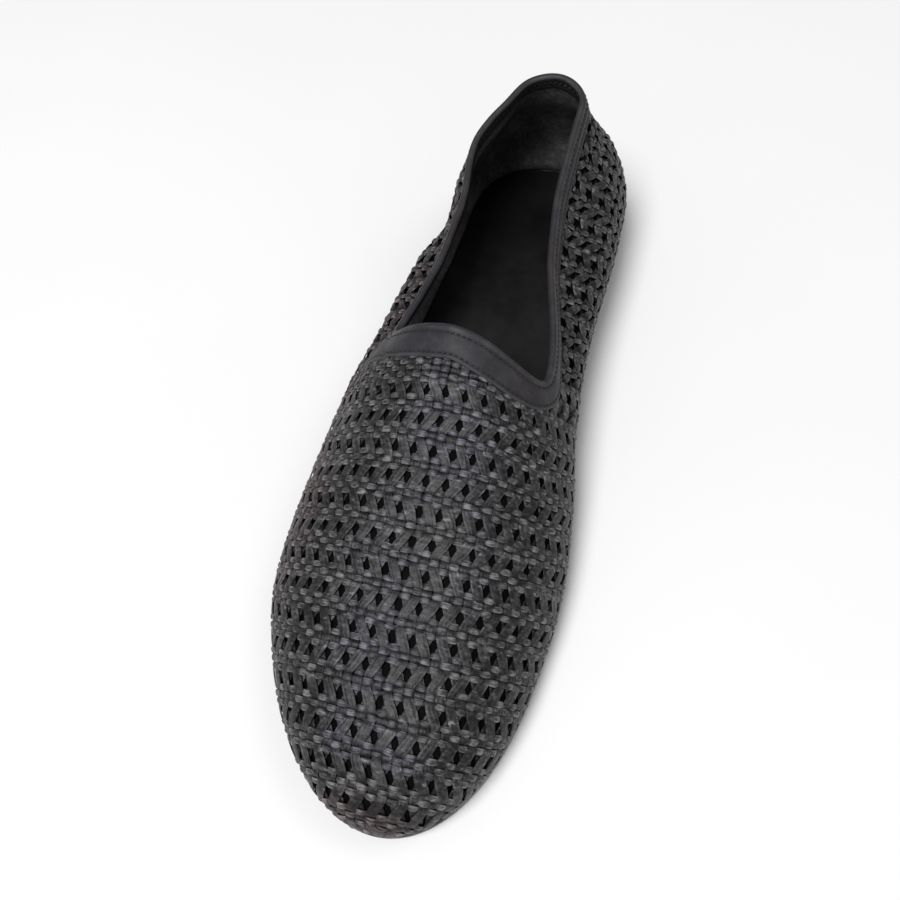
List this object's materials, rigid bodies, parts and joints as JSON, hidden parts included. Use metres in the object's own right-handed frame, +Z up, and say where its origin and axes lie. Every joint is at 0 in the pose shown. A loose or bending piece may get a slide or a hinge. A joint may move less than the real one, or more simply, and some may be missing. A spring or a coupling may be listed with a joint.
{
  "type": "slip-on shoe",
  "caption": "Black woven leather slip-on shoe for the right foot with an open-work vamp, smooth bound topline, notched sides, thin sole and low heel.",
  "frame": {"origin": "on the floor under the middle of the shoe's bounding box", "axes": "+Y from toe to heel along the shoe, +X to the inner side of the right foot, +Z up"},
  "size_m": [0.1052, 0.2948, 0.0804],
  "materials": {
    "outsole": "black edge dressing, satin",
    "heel": "matt black",
    "upper": "worn matt woven strips",
    "collar_binding": "smooth, semi-matt",
    "insole": "smooth, polished by wear"
  },
  "bodies": {
    "root": {"outsole": "outsole", "heel": "heel", "upper": "upper", "collar_binding": "collar_binding", "insole": "insole"}
  },
  "joints": []
}
